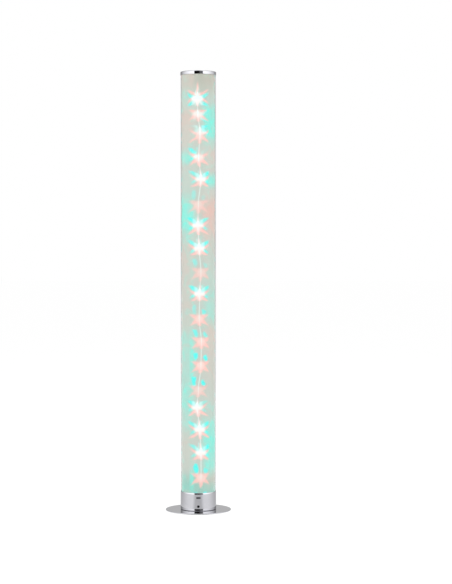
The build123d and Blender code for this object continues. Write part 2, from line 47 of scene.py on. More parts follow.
class Wire:
    """One output in a node tree. Operators add Math nodes and node() adds any other."""

    def __init__(self, tree, socket=None):
        self.tree = tree
        self.socket = socket

    def node(self, kind, settings, values, output=0):
        """Adds a node, sets it up, fills its inputs by name or number, gives one output."""
        made = self.tree.nodes.new("ShaderNode" + kind)
        for name, setting in settings.items():
            if name == "between":
                made.color_ramp.interpolation = setting
            elif name == "stops":
                ramp = made.color_ramp
                while len(ramp.elements) < len(setting):
                    ramp.elements.new(1.0)
                for element, (position, colour) in zip(ramp.elements, setting):
                    element.position = position
                    element.color = colour
            else:
                setattr(made, name, setting)
        for name, value in values.items():
            if isinstance(value, Wire):
                self.tree.links.new(value.socket, made.inputs[name])
            else:
                made.inputs[name].default_value = value
        return Wire(self.tree, made.outputs[output])

    def out(self, name):
        """Another output of the node that this one comes from."""
        return Wire(self.tree, self.socket.node.outputs[name])

    def into(self, *sockets):
        for socket in sockets:
            self.tree.links.new(self.socket, socket)

    def maths(self, operation, *values):
        return self.node("Math", {"operation": operation}, dict(enumerate(values)))

    def __add__(self, other):
        return self.maths("ADD", self, other)

    def __radd__(self, other):
        return self.maths("ADD", other, self)

    def __sub__(self, other):
        return self.maths("SUBTRACT", self, other)

    def __rsub__(self, other):
        return self.maths("SUBTRACT", other, self)

    def __mul__(self, other):
        return self.maths("MULTIPLY", self, other)

    def __rmul__(self, other):
        return self.maths("MULTIPLY", other, self)

    def __truediv__(self, other):
        return self.maths("DIVIDE", self, other)

    def __abs__(self):
        return self.maths("ABSOLUTE", self)


def new_finish(name, roughness, metallic=0.0):
    """A new material, its Principled shader, and its Object coordinates as a Wire."""
    material = bpy.data.materials.new(name)
    material.use_nodes = True
    shader = material.node_tree.nodes["Principled BSDF"]
    shader.inputs["Roughness"].default_value = roughness
    shader.inputs["Metallic"].default_value = metallic
    place = Wire(material.node_tree).node("TexCoord", {}, {}, "Object")
    return material, shader, place


def paint(red, green, blue):
    """A colour as it is seen on a screen, 0 to 255, turned into shader numbers."""
    linear = []
    for value in (red, green, blue):
        share = value / 255
        linear.append(share / 12.92 if share < 0.04045 else ((share + 0.055) / 1.055) ** 2.4)
    return (*linear, 1.0)


def mixed(factor, first, second):
    """The colour first where factor is 0 and second where it is 1."""
    return factor.node("Mix", {"data_type": "RGBA"}, {0: factor, 6: first, 7: second}, 2)


def grain(place, scale, detail=3.0, roughness=0.55):
    """Soft noise from 0 to 1, scale times to the metre."""
    sockets = {"Vector": place, "Scale": scale, "Detail": detail, "Roughness": roughness}
    return place.node("TexNoise", {}, sockets)


def eased(value, low, high, start=0.0, end=1.0):
    """Goes smoothly from start, where value is low, to end, where it is high."""
    sockets = {"Value": value, "From Min": low, "From Max": high, "To Min": start, "To Max": end}
    return value.node("MapRange", {"interpolation_type": "SMOOTHSTEP"}, sockets)


def relief(height, depth, strength, shader):
    """Feeds a height to the shader's Normal through a Bump, depth metres at most."""
    sockets = {"Height": height, "Distance": depth, "Strength": strength}
    height.node("Bump", {}, sockets).into(shader.inputs["Normal"])


def dress(node, material):
    """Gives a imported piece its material."""
    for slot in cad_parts[node].material_slots:
        slot.material = material


foam, shader, place = new_finish("black closed-cell foam", 0.92)
shader.inputs["Specular IOR Level"].default_value = 0.25
cells = place.node("TexVoronoi", {"feature": "F1"}, {"Vector": place, "Scale": 1900.0})
patches = grain(place, 60.0)
mixed(cells * 0.5 + patches * 0.5, paint(30, 30, 32), paint(58, 58, 60)).into(
    shader.inputs["Base Color"]
)
relief(cells + patches * 0.4, 0.25 * mm, 0.6, shader)
dress("foot_ring_pad", foam)


# Foot plate.
# A 2.5 mm steel disc, turned, rounded over at both rims and chromed all over. Four
# countersunk holes from below take the screws.
plate_radius = 75.0 * mm
plate_bottom = 0.6 * mm
plate_top = 3.1 * mm
plate_edge = 0.8 * mm
round_segments = 384
hole_segments = 64
screw_circle = 28.15 * mm
screw_hole = 2.2 * mm
screw_sink = 4.2 * mm
screw_angles = [radians(45 + 90 * turn) for turn in range(4)]
sharp_angle = radians(32)
tolerance = 1e-6


def cylinder(name, radius, low, high, segments=round_segments):
    """A closed upright cylinder on the lamp's axis, from low to high, alone selected."""
    bpy.ops.object.select_all(action="DESELECT")
    bpy.ops.mesh.primitive_cylinder_add(
        vertices=segments, radius=radius, depth=high - low, location=(0, 0, (low + high) / 2)
    )
    piece = bpy.context.object
    piece.name = name
    bpy.ops.object.transform_apply(location=True, rotation=True, scale=True)
    return piece


def pick(piece, parts, wanted):
    """In edit mode, selects only the faces, edges or verts for which wanted() is true."""
    bpy.ops.mesh.select_mode(type={"faces": "FACE", "edges": "EDGE", "verts": "VERT"}[parts])
    mesh = bmesh.from_edit_mesh(piece.data)
    for kind in (mesh.verts, mesh.edges, mesh.faces):
        for part in kind:
            part.select = False
    for part in getattr(mesh, parts):
        if wanted(part):
            part.select_set(True)
    mesh.select_flush_mode()
    bmesh.update_edit_mesh(piece.data)


def level_ring(radius, height):
    """A test for the edges of one level ring about the lamp's axis."""

    def wanted(edge):
        return all(
            abs(end.co.z - height) < tolerance
            and abs(hypot(end.co.x, end.co.y) - radius) < tolerance
            for end in edge.verts
        )

    return wanted


def apply_modifiers(piece):
    """Applies all modifiers of the piece, in order."""
    bpy.context.view_layer.objects.active = piece
    for modifier in list(piece.modifiers):
        bpy.ops.object.modifier_apply(modifier=modifier.name)


def round_cutter(radius, depth, location, rotation=(0, 0, 0), segments=hole_segments):
    """A cylinder that is to be cut away from a piece."""
    bpy.ops.object.select_all(action="DESELECT")
    bpy.ops.mesh.primitive_cylinder_add(
        vertices=segments, radius=radius, depth=depth, location=location, rotation=rotation
    )
    return bpy.context.object


def cut_away(piece, cutter):
    """Takes the cutter's shape out of the piece and removes the cutter."""
    cut = piece.modifiers.new("cut", "BOOLEAN")
    cut.operation = "DIFFERENCE"
    cut.solver = "EXACT"
    cut.object = cutter
    apply_modifiers(piece)
    bpy.data.objects.remove(cutter)


def smooth_shell(piece):
    """Smooth shading that keeps flat faces flat and sharp corners sharp."""
    bpy.ops.object.select_all(action="DESELECT")
    piece.select_set(True)
    bpy.context.view_layer.objects.active = piece
    bpy.ops.object.shade_smooth_by_angle(angle=sharp_angle)
    weighted = piece.modifiers.new("weighted", "WEIGHTED_NORMAL")
    weighted.keep_sharp = True
    apply_modifiers(piece)


def finish_piece(piece, material, slot, *nodes):
    """Gives the piece its material and body, and hides the nodes it stands for. The slot is not
    used.
    """
    piece.data.materials.clear()
    piece.data.materials.append(material)
    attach(piece, "lamp")
    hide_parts(*nodes)


chrome, shader, place = new_finish("bright chrome", 0.05, metallic=1.0)
haze = eased(grain(place, 34.0, 4.0), 0.42, 0.72)
scuffs = eased(grain(place, 2600.0, 2.0), 0.55, 0.75)
mixed(haze, paint(184, 184, 188), paint(180, 180, 185)).into(shader.inputs["Base Color"])
(0.035 + haze * 0.035 + scuffs * 0.02).into(shader.inputs["Roughness"])
relief(grain(place, 22.0, 1.0) + scuffs * 0.004, 0.03 * mm, 0.35, shader)

foot_plate = cylinder("chrome_foot_plate", plate_radius, plate_bottom, plate_top)
bpy.ops.object.mode_set(mode="EDIT")
for height in (plate_bottom, plate_top):
    pick(foot_plate, "edges", level_ring(plate_radius, height))
    bpy.ops.mesh.bevel(offset=plate_edge, segments=6, profile=0.5, affect="EDGES")
bpy.ops.object.mode_set(mode="OBJECT")
sink_depth = screw_sink - screw_hole + plate_bottom
for angle in screw_angles:
    across, along = screw_circle * cos(angle), screw_circle * sin(angle)
    bpy.ops.object.select_all(action="DESELECT")
    bpy.ops.mesh.primitive_cone_add(
        vertices=hole_segments,
        radius1=screw_sink + plate_bottom,
        radius2=screw_hole,
        depth=sink_depth,
        location=(across, along, sink_depth / 2),
    )
    cut_away(foot_plate, bpy.context.object)
    cut_away(foot_plate, round_cutter(screw_hole, 2 * plate_top, (across, along, plate_top)))
smooth_shell(foot_plate)
finish_piece(foot_plate, chrome, "chrome", "foot_plate")


# Plate screws.
# Four zinc-plated countersunk screws with a cross drive. They go up through the plate
# and the floor of the cup into the legs of the moulding.
screw_zinc, shader, place = new_finish("zinc-plated steel", 0.32, metallic=1.0)
bloom = grain(place, 700.0, 3.0)
mixed(bloom, paint(150, 150, 146), paint(196, 197, 200)).into(shader.inputs["Base Color"])
(0.24 + bloom * 0.2).into(shader.inputs["Roughness"])
relief(grain(place, 5200.0), 0.02 * mm, 0.4, shader)
dress("plate_screws", screw_zinc)


# Cup.
# Spun from 0.85 mm steel and chromed. Its rim leans in to a thin lip against the tube.
# A rounded slot and a round hole are punched in its front, and a hole in its back.
cup_radius = 41.0 * mm
cup_bottom = 3.1 * mm
cup_bend = 39.7 * mm
cup_top = 44.7 * mm
lip_radius = 40.45 * mm
inner_radius = 40.15 * mm
cup_floor_top = 4.1 * mm
cup_foot_edge = 1.5 * mm
lean_steps = 10
key_centre = 33.6 * mm
key_slot_width = 10.0 * mm
key_slot_height = 4.3 * mm
key_slot_corner = 1.2 * mm
eye_centre = 13.9 * mm
eye_hole = 3.0 * mm
inlet_centre = 16.1 * mm
inlet_hole = 4.15 * mm


def wall_cutter(radius, height, side):
    """A level cutter for a round hole in the cup's front (-1) or back (1) wall."""
    return round_cutter(radius, cup_radius, (0, side * cup_radius, height), (pi / 2, 0, 0))


def is_level(face):
    return abs(face.normal.z) > 0.99


def hollow(piece, face_height, wall, depth):
    """Sinks the level face at face_height by depth, leaving a wall round it."""

    def wanted(face):
        return is_level(face) and abs(face.calc_center_median().z - face_height) < tolerance

    pick(piece, "faces", wanted)
    bpy.ops.mesh.inset(thickness=wall)
    bpy.ops.mesh.extrude_region_move(TRANSFORM_OT_translate={"value": (0, 0, depth)})


cup = cylinder("chrome_cup", cup_radius, cup_bottom, cup_bend)
bpy.ops.object.mode_set(mode="EDIT")
pick(cup, "faces", lambda face: is_level(face) and face.normal.z > 0)
lean = cup_radius - lip_radius
lean_height = cup_top - cup_bend
bend_radius = (lean**2 + lean_height**2) / (2 * lean)
radius_now, height_now = cup_radius, 0.0
for step in range(1, lean_steps + 1):
    height = lean_height * step / lean_steps
    radius = cup_radius - bend_radius + (bend_radius**2 - height**2) ** 0.5
    bpy.ops.mesh.extrude_region_move(
        TRANSFORM_OT_translate={"value": (0, 0, height - height_now)}
    )
    share = radius / radius_now
    bpy.ops.transform.resize(value=(share, share, 1), center_override=(0, 0, cup_bend + height))
    radius_now, height_now = radius, height
hollow(cup, cup_top, lip_radius - inner_radius, cup_floor_top - cup_top)
pick(cup, "edges", level_ring(cup_radius, cup_bottom))
bpy.ops.mesh.bevel(offset=cup_foot_edge, segments=8, profile=0.5, affect="EDGES")
bpy.ops.object.mode_set(mode="OBJECT")

bpy.ops.object.select_all(action="DESELECT")
bpy.ops.mesh.primitive_cube_add(size=1, location=(0, -cup_radius, key_centre))
slot_cutter = bpy.context.object
slot_cutter.scale = (key_slot_width, cup_radius, key_slot_height)
bpy.ops.object.transform_apply(location=True, rotation=True, scale=True)
bpy.ops.object.mode_set(mode="EDIT")
pick(
    slot_cutter,
    "edges",
    lambda edge: abs(edge.verts[0].co.y - edge.verts[1].co.y) > cup_radius / 2,
)
bpy.ops.mesh.bevel(offset=key_slot_corner, segments=10, profile=0.5, affect="EDGES")
bpy.ops.object.mode_set(mode="OBJECT")
cut_away(cup, slot_cutter)
cut_away(cup, wall_cutter(eye_hole, eye_centre, -1))
cut_away(cup, wall_cutter(inlet_hole, inlet_centre, 1))
for angle in screw_angles:
    stand = (screw_circle * cos(angle), screw_circle * sin(angle), cup_bottom)
    cut_away(cup, round_cutter(screw_hole, cup_bottom, stand, segments=48))
smooth_shell(cup)
finish_piece(cup, chrome, "chrome", "base_cup")


# Lower and upper mouldings.
# Two injection mouldings in off-white plastic. The lower one seats tube, film and light
# column and holds the board; the upper one centres them and carries the cap.
moulding, shader, place = new_finish("off-white moulded plastic", 0.5)
flow = grain(place, 26.0, 2.0)
mixed(flow, paint(214, 213, 207), paint(226, 225, 220)).into(shader.inputs["Base Color"])
(0.44 + grain(place, 240.0) * 0.16).into(shader.inputs["Roughness"])
relief(grain(place, 3200.0, 2.0), 0.03 * mm, 0.5, shader)
dress("base_chassis", moulding)
dress("top_plug", moulding)


# Controller board.
# Green glass-fibre board that stands in the rails of the moulding. The weave shows
# faintly through the solder resist.
resist, shader, place = new_finish("green solder resist", 0.3)
weave_a = place.node("TexWave", {"bands_direction": "X"}, {"Vector": place, "Scale": 420.0})
weave_b = place.node("TexWave", {"bands_direction": "Z"}, {"Vector": place, "Scale": 420.0})
weave = (weave_a + weave_b) * 0.5
mixed(weave, paint(16, 84, 48), paint(26, 112, 66)).into(shader.inputs["Base Color"])
(0.24 + weave * 0.14).into(shader.inputs["Roughness"])
relief(weave, 0.02 * mm, 0.5, shader)
dress("controller_board", resist)


# Black mouldings on the board and in the wall.
# Chip, transistors, switch, receiver, inlet and its nut are all moulded in black, with
# the fine matt grain that a spark-eroded mould leaves.
black_moulding, shader, place = new_finish("matt black moulding", 0.6)
speck = grain(place, 1500.0, 2.0)
mixed(speck, paint(24, 24, 25), paint(44, 44, 46)).into(shader.inputs["Base Color"])
(0.5 + speck * 0.2).into(shader.inputs["Roughness"])
relief(grain(place, 4200.0, 2.0), 0.04 * mm, 0.6, shader)
for node in (
    "control_chip",
    "driver_transistors",
    "switch_body",
    "ir_receiver",
    "inlet_body",
    "inlet_nut",
):
    dress(node, black_moulding)


# Capacitor.
# An upright can in a shrunk dark blue sleeve, rounded over at its outer end.
sleeve, shader, place = new_finish("shrunk blue sleeve", 0.28)
folds = place.node("TexWave", {"bands_direction": "Y"}, {"Vector": place, "Scale": 260.0})
mixed(folds, paint(30, 36, 62), paint(44, 52, 84)).into(shader.inputs["Base Color"])
(0.22 + grain(place, 500.0) * 0.12).into(shader.inputs["Roughness"])
relief(folds, 0.03 * mm, 0.4, shader)
dress("board_capacitor", sleeve)


# Key.
# A push key in satin dark grey plastic. It stands proud of the slot and is pressed
# straight in; it is rubbed a little smoother in patches.
key_plastic, shader, place = new_finish("satin dark grey plastic", 0.4)
speck = grain(place, 1800.0, 2.0)
rubbed = eased(grain(place, 260.0, 2.0), 0.35, 0.7)
mixed(speck, paint(56, 56, 60), paint(76, 76, 80)).into(shader.inputs["Base Color"])
(0.48 - rubbed * 0.16).into(shader.inputs["Roughness"])
relief(grain(place, 4600.0, 2.0), 0.03 * mm, 0.45, shader)
dress("mode_button", key_plastic)


# Connectors and plunger.
# Sockets, plugs and the switch's plunger are nylon in its natural white.
nylon, shader, place = new_finish("natural white nylon", 0.42)
cloud = grain(place, 180.0)
mixed(cloud, paint(226, 221, 206), paint(238, 235, 224)).into(shader.inputs["Base Color"])
(0.36 + cloud * 0.14).into(shader.inputs["Roughness"])
relief(grain(place, 2600.0), 0.02 * mm, 0.4, shader)
for node in ("switch_plunger", "strip_socket", "strip_plug", "power_socket", "power_plug"):
    dress(node, nylon)


# Receiver eye.
# A polished window of dark filter acrylic in the round hole. Only infra-red light
# passes it, so it looks black.
dark_acrylic, shader, place = new_finish("dark filter acrylic", 0.08)
tint = grain(place, 320.0, 2.0)
mixed(tint, paint(10, 8, 10), paint(20, 14, 18)).into(shader.inputs["Base Color"])
(0.05 + eased(tint, 0.4, 0.75) * 0.08).into(shader.inputs["Roughness"])
shader.inputs["Specular IOR Level"].default_value = 0.2
dress("ir_window", dark_acrylic)


# Inlet contacts.
# The centre pin and the two solder lugs are brass with a bright plating.
plating, shader, place = new_finish("plated brass", 0.25, metallic=1.0)
wear = grain(place, 900.0)
mixed(wear, paint(206, 184, 124), paint(222, 206, 158)).into(shader.inputs["Base Color"])
(0.18 + wear * 0.18).into(shader.inputs["Roughness"])
relief(wear, 0.01 * mm, 0.4, shader)
dress("inlet_pin", plating)
dress("inlet_terminals", plating)


# Leads.
# Six thin stranded leads with soft red insulation, which shows a faint print of the
# strands under it.
insulation, shader, place = new_finish("soft red insulation", 0.45)
strands = grain(place, 900.0, 2.0)
mixed(strands, paint(160, 26, 24), paint(196, 44, 38)).into(shader.inputs["Base Color"])
(0.38 + strands * 0.16).into(shader.inputs["Roughness"])
relief(strands, 0.03 * mm, 0.4, shader)
dress("strip_leads", insulation)
dress("inlet_leads", insulation)


# Light carrier.
# A square drawn aluminium tube up the middle of the lamp. The die leaves fine lines
# along it.
drawn_aluminium, shader, place = new_finish("drawn aluminium", 0.35, metallic=1.0)
stretched = place.node("Mapping", {}, {"Vector": place, "Scale": (1.0, 1.0, 0.02)})
lines = grain(stretched, 2400.0, 3.0)
mixed(lines, paint(186, 187, 190), paint(216, 217, 220)).into(shader.inputs["Base Color"])
(0.26 + lines * 0.2).into(shader.inputs["Roughness"])
relief(lines, 0.02 * mm, 0.5, shader)
dress("led_carrier", drawn_aluminium)


# Strips, links and lights.
# White flexible strips are stuck on the four sides of the carrier and joined round its
# corners by amber film. Each light is a white package with a clear lens.
lamp_sides = ("front", "right", "back", "left")
strip_white, shader, place = new_finish("white flexible board", 0.4)
cloud = grain(place, 90.0)
mixed(cloud, paint(228, 228, 224), paint(240, 240, 238)).into(shader.inputs["Base Color"])
(0.34 + cloud * 0.14).into(shader.inputs["Roughness"])
relief(grain(place, 1400.0), 0.02 * mm, 0.4, shader)

amber_film, shader, place = new_finish("amber flexible film", 0.25)
cloud = grain(place, 220.0)
mixed(cloud, paint(178, 106, 34), paint(204, 132, 52)).into(shader.inputs["Base Color"])
(0.2 + cloud * 0.12).into(shader.inputs["Roughness"])
dress("corner_links", amber_film)

light_package, shader, place = new_finish("lit white package", 0.22)
cloud = grain(place, 260.0)
mixed(cloud, paint(238, 238, 232), paint(250, 248, 240)).into(shader.inputs["Base Color"])
(0.16 + cloud * 0.14).into(shader.inputs["Roughness"])
shader.inputs["Emission Strength"].default_value = 0.6
mixed(cloud, paint(214, 252, 248), paint(255, 222, 216)).into(shader.inputs["Emission Color"])
for side in lamp_sides:
    dress(f"led_strip_{side}", strip_white)
    dress(f"led_chips_{side}", light_package)


# Star film.
# A milky prismatic film rolled into a sleeve. It turns each light behind it into a
# six-armed star, cyan above and pink below, and washes the rest in soft colour. These
# stars, washes and streaks are painted light, fixed on the film in its glow and base colour.
film_radius = 38.35 * mm
film_thickness = 0.3 * mm
film_bottom = 39.7 * mm
film_top = 1002.5 * mm
film_segments = 256
# The stars of the front row from the top down: height and step to the side in mm, kind,
# and how strong the cyan arms are on the left and on the right. The lowest entry is just
# the two spots above the lip of the cup.
front_stars = [
    (938, -2, "crown", 0.8, 0.8),
    (906, -1, "rose", 0.1, 0.6),
    (867, 4, "dim", 0.2, 1.0),
    (808, 1, "warm", 0.9, 0.15),
    (761, 6, "cyan", 0.7, 0.9),
    (700, 0, "faint", 0.35, 0.2),
    (656, -1, "cyan", 1.0, 0.8),
    (604, 2, "white", 0.8, 0.9),
    (547, 6, "faint", 0.5, 0.3),
    (501, 3, "cyan", 0.9, 0.8),
    (441, 2, "pink", 0.5, 0.7),
    (389, 7, "pink", 0.8, 0.7),
    (335, 6, "pink", 1.0, 1.0),
    (279, 0, "faint", 1.0, 1.0),
    (242, -3, "cyan", 0.8, 0.5),
    (192, 3, "white", 0.8, 0.9),
    (139, 6, "cyan", 0.7, 1.0),
    (79, 6, "pink", 1.0, 0.7),
    (28, 4, "edge", 0.4, 0.7),
]
# Each kind of star: how white its core is, how strong its pink star is, how many mm above
# the core the pink star and the cyan star have their middles, and 1 where the cyan star
# shows as two blurred spots only.
star_kinds = {
    "crown": (0.95, 0.85, 9.0, 0.0, 0.0),
    "white": (0.85, 0.9, -8.0, 0.5, 0.0),
    "cyan": (0.7, 0.9, -8.0, 1.5, 0.0),
    "dim": (0.5, 0.85, -10.0, 5.0, 0.0),
    "warm": (0.25, 0.95, -2.0, 6.0, 0.0),
    "rose": (0.35, 0.8, 0.0, -6.0, 0.0),
    "pink": (0.0, 0.85, 0.0, 20.0, 1.0),
    "faint": (0.0, 0.6, 0.0, 20.0, 1.0),
    "edge": (0.0, 0.0, 0.0, 19.0, 1.0),
}
# Each side has the same row, shifted by a quarter of its length from the one beside it,
# and the two side rows stand a little behind the tube's edges.
row_bottom = 4.0
row_length = 992.0
row_shift = row_length / 4
side_row_turn = 0.2
# A star's stretch of the row reaches this share of the way to the star above.
spotted_stretch, plain_stretch = 0.62, 0.46
# Sizes of the parts of a star in mm.
cyan_reach, cyan_breadth = 39.0, 5.3
stroke_reach, stroke_breadth = 38.0, 3.4
pink_reach, pink_breadth = 34.0, 12.0
core_width, core_height = 12.0, 7.5
spot_aside, spot_width, spot_height = 12.0, 5.6, 12.5
body_size = 9.0
# A star fades out from the first to the second of these, in mm from the borders of its
# stretch and in mm to the side.
border_dark, border_full = 1.5, 6.5
side_dark, side_full, side_row_less = 30.0, 22.0, 8.0

# The top and foot colours are painted shade on the milky film: its unlit top and its darker foot.
milk_middle, painted_shade_top, painted_shade_foot = paint(198, 203, 195), paint(188, 188, 177), paint(160, 200, 189)
wash_cyan, wash_pink = paint(128, 236, 221), paint(232, 186, 176)
star_cyan, star_pink = paint(98, 244, 238), paint(255, 198, 190)
white_below, white_above = paint(255, 240, 238), paint(240, 255, 252)

star_film, shader, place = new_finish("milky star-effect film", 0.34)
shader.inputs["Specular IOR Level"].default_value = 0.1
seen = place.node("SeparateXYZ", {}, {0: place})
x_mm, y_mm, z_mm = seen.out("X") * 1000.0, seen.out("Y") * 1000.0, seen.out("Z") * 1000.0
angle = x_mm.maths("ARCTAN2", x_mm, 0.0 - y_mm)
quarter = angle / (pi / 2)
column = quarter.maths("ROUND", quarter)
side_row = column.maths("MODULO", abs(column), 2.0)
across = (angle - column * (pi / 2 + side_row * side_row_turn)) * (film_radius / mm)
climb = z_mm - row_bottom + column * row_shift
row_place = climb.maths("FLOORED_MODULO", climb, row_length)
ramp_place = row_place / row_length


offset_range = 40.0


def packed(offset):
    """An offset from -20 to 20 mm as a share from 0 to 1, because a ramp holds no more."""
    return offset / offset_range + 0.5


def unpacked(share):
    """The offset in mm again."""
    return (share - 0.5) * offset_range


# The borders between neighbouring stars, as shares of the row, and the stops of the ramps
# that give each stretch between two borders the values of its star.
rising = list(reversed(front_stars))
borders = [0.0]
for below, above in zip(rising, rising[1:]):
    stretch = spotted_stretch if below[2] in ("pink", "faint") else plain_stretch
    border = below[0] + (above[0] - below[0]) * stretch
    borders.append((border - row_bottom) / row_length)
borders.append(1.0)
places, strengths, offsets, limits, line = [], [], [], [], []
for star, border, next_border in zip(rising, borders, borders[1:]):
    height, step, kind, left, right = star
    core, pink, pink_rise, cyan_rise, spotted = star_kinds[kind]
    share = (height - row_bottom) / row_length
    places.append((border, (share, core, pink, 1.0)))
    strengths.append((border, (left, right, 0.0, 1.0)))
    offsets.append((border, (packed(pink_rise), packed(cyan_rise), spotted, 1.0)))
    limits.append((border, (share - border, next_border - share, 0.0, 1.0)))
    line.append((share, (packed(step), 0.0, 0.0, 1.0)))


def looked_up(where, between, stops):
    """The red, green and blue of a ramp at a place from 0 to 1, as Wires."""
    ramp = where.node("ValToRGB", {"between": between, "stops": stops}, {"Fac": where})
    parts = ramp.node("SeparateColor", {}, {0: ramp})
    return parts.out("Red"), parts.out("Green"), parts.out("Blue")


star_share, core_strength, pink_strength = looked_up(ramp_place, "CONSTANT", places)
left_strength, right_strength, _ = looked_up(ramp_place, "CONSTANT", strengths)
pink_rise, cyan_rise, spotted = looked_up(ramp_place, "CONSTANT", offsets)
room_below, room_above, _ = looked_up(ramp_place, "CONSTANT", limits)
wander, _, _ = looked_up(ramp_place, "EASE", line)

# Where a point lies beside and above its star's core, in mm, and how far inside the
# star's own stretch of the row it is, so that no arm ends in a hard cut.
aside = across - unpacked(wander)
above = row_place - star_share * row_length
pink_above = above - unpacked(pink_rise)
cyan_above = above - unpacked(cyan_rise)
inside = eased(room_below * row_length + above, border_dark, border_full)
inside = inside * eased(room_above * row_length - above, border_dark, border_full)
inside = inside * eased(abs(across) + side_row * side_row_less, side_dark, side_full)


def arms(sideways, upwards):
    """How far a point lies along the nearest arm of a six-armed star, and beside it."""
    square = sideways * sideways + upwards * upwards
    far = square.maths("SQRT", square)
    turn = far.maths("ARCTAN2", sideways, upwards)
    off_arm = turn.maths("PINGPONG", abs(turn), pi / 6)
    along = far * off_arm.maths("COSINE", off_arm)
    beside = far * off_arm.maths("SINE", off_arm)
    return along, beside


def thin_star(sideways, upwards, reach, breadth):
    """A star with six thin arms that narrow and fade towards their tips."""
    along, beside = arms(sideways, upwards)
    half_width = breadth * (1.25 - along * (0.75 / reach))
    return eased(beside / half_width, 1.35, 0.25) * eased(along, reach, reach * 0.5)


def full_star(sideways, upwards, reach, breadth):
    """A soft star with six pointed arms."""
    along, beside = arms(sideways, upwards)
    return eased(1.0 - along / reach - beside / breadth, 0.0, 0.5)


# The cyan star has thin arms, shorter below than above except on the topmost star. A
# little noise roughens all outlines, as the prisms of the film do.
ripple = grain(place, 90.0, 2.0) - 0.5
rough_aside = aside + ripple * 6.0
cyan_up = cyan_above + ripple * 5.0
shorter = 1.0 - eased(cyan_up, 0.0, -6.0) * eased(z_mm, 925.0, 915.0) * 0.2
cyan_star = thin_star(rough_aside / shorter, cyan_up / shorter, cyan_reach, cyan_breadth)
cyan_star = cyan_star * eased(abs(aside), 0.5, 7.0)

# Where the core is white, the pink star shows as thin strokes. Elsewhere it is full, its
# arms sag at the sides and it has none straight up.
pink_up = pink_above - ripple * 5.0
strokes = thin_star(rough_aside, pink_up, stroke_reach, stroke_breadth)
sag = aside * aside * 0.006
full = full_star(rough_aside, pink_up + sag, pink_reach, pink_breadth)
full = full * (1.0 - eased(pink_up, 7.0, 14.0) * eased(abs(aside), 7.0, 3.0))
pink_star = full * (1.0 - core_strength) + strokes * core_strength
body_square = (rough_aside * rough_aside + pink_up * pink_up) / body_size**2

# The core is an oval of white that runs out a little way into the cyan arms.
core_across = rough_aside / core_width
core_up = (above + ripple * 6.0) / core_height
core_star = eased(core_across * core_across + core_up * core_up, 1.9, 0.1)
pale_arms = cyan_star * eased(abs(aside), 16.0, 7.0) * 0.75

# The blurred spots stand above a pink star, the left one taller than the right one.
to_right = eased(aside, -2.5, 2.5)
arm_strength = left_strength * (1.0 - to_right) + right_strength * to_right
off_spot = (abs(aside) + ripple * 8.0 - spot_aside + to_right * 1.5) / spot_width
over_spot = cyan_above + ripple * 10.0 + aside * 0.3
over_spot = over_spot / (spot_height - to_right * 5.5)
spot_square = off_spot * off_spot + over_spot * over_spot
spots = eased(spot_square / (0.6 + arm_strength * 0.5), 1.7, 0.1)

cyan_shape = cyan_star * (1.0 - spotted) + spots * spotted
cyan_mask = cyan_shape * arm_strength * inside
pink_mask = pink_star * pink_strength * inside
core_mask = core_star.maths("MAXIMUM", core_star, pale_arms) * core_strength * inside
pale_middle = eased(body_square, 1.8, 0.0) * pink_strength * inside

# A fine white streak runs from star to star and fades out at both ends of the tube.
near_star = eased(abs(above), 26.0, 4.0) * inside
streak_width = 1.1 + near_star * near_star * core_strength * 1.5
streak = eased(abs(aside) / streak_width, 1.5, 0.3) * (0.5 + near_star * core_strength * 0.5)
streak = streak * (1.0 - pink_star * (1.0 - core_strength) * 0.3) * eased(z_mm, 975.0, 955.0)
streak = streak * eased(z_mm, 58.0, 84.0)

# The soft washes of painted light: how cyan and how pink the film is lit at each share of
# its height, on the left, on the right and just left of the stars.
left_wash = [
    (0.00, 0.15, 0.0), (0.06, 0.0, 0.0), (0.12, 0.0, 0.1), (0.18, 0.25, 0.0),
    (0.22, 0.55, 0.0), (0.30, 0.35, 0.0), (0.35, 0.5, 0.0), (0.41, 0.05, 0.1),
    (0.47, 0.0, 0.1), (0.53, 0.0, 0.2), (0.57, 0.0, 0.2), (0.61, 0.25, 0.0),
    (0.65, 0.95, 0.0), (0.69, 0.75, 0.0), (0.73, 0.1, 0.0), (0.77, 0.0, 0.0),
    (0.80, 0.65, 0.0), (0.83, 0.0, 0.15), (0.89, 0.0, 0.35), (0.94, 0.3, 0.05),
    (0.98, 0.0, 0.25),
]
right_wash = [
    (0.00, 0.1, 0.0), (0.03, 0.0, 0.35), (0.07, 0.6, 0.0), (0.12, 1.0, 0.0),
    (0.15, 0.6, 0.0), (0.20, 0.1, 0.0), (0.26, 0.0, 0.05), (0.33, 0.0, 0.25),
    (0.38, 0.0, 0.3), (0.43, 0.4, 0.0), (0.50, 0.15, 0.0), (0.58, 0.05, 0.05),
    (0.64, 0.0, 0.5), (0.68, 0.0, 0.8), (0.72, 0.0, 0.1), (0.745, 0.8, 0.0),
    (0.78, 0.0, 0.25), (0.81, 0.0, 0.35), (0.835, 0.3, 0.0), (0.86, 1.0, 0.0),
    (0.91, 1.0, 0.0), (0.93, 0.1, 0.0), (0.98, 0.0, 0.1),
]
inner_wash = [
    (0.015, 0.35, 0.0), (0.045, 0.8, 0.0), (0.07, 0.1, 0.0), (0.21, 0.0, 0.0),
    (0.25, 0.2, 0.0), (0.31, 0.45, 0.0), (0.36, 0.5, 0.0), (0.41, 0.1, 0.0),
    (0.55, 0.2, 0.0), (0.57, 0.0, 0.1), (0.66, 0.2, 0.0), (0.73, 0.0, 0.0),
    (0.97, 0.0, 0.1),
]
height_share = (z_mm - film_bottom / mm) / ((film_top - film_bottom) / mm)
drift = (grain(place, 22.0, 2.0) - 0.5) * 0.03
wash_place = height_share + drift
cyan_wash, pink_wash = [], []
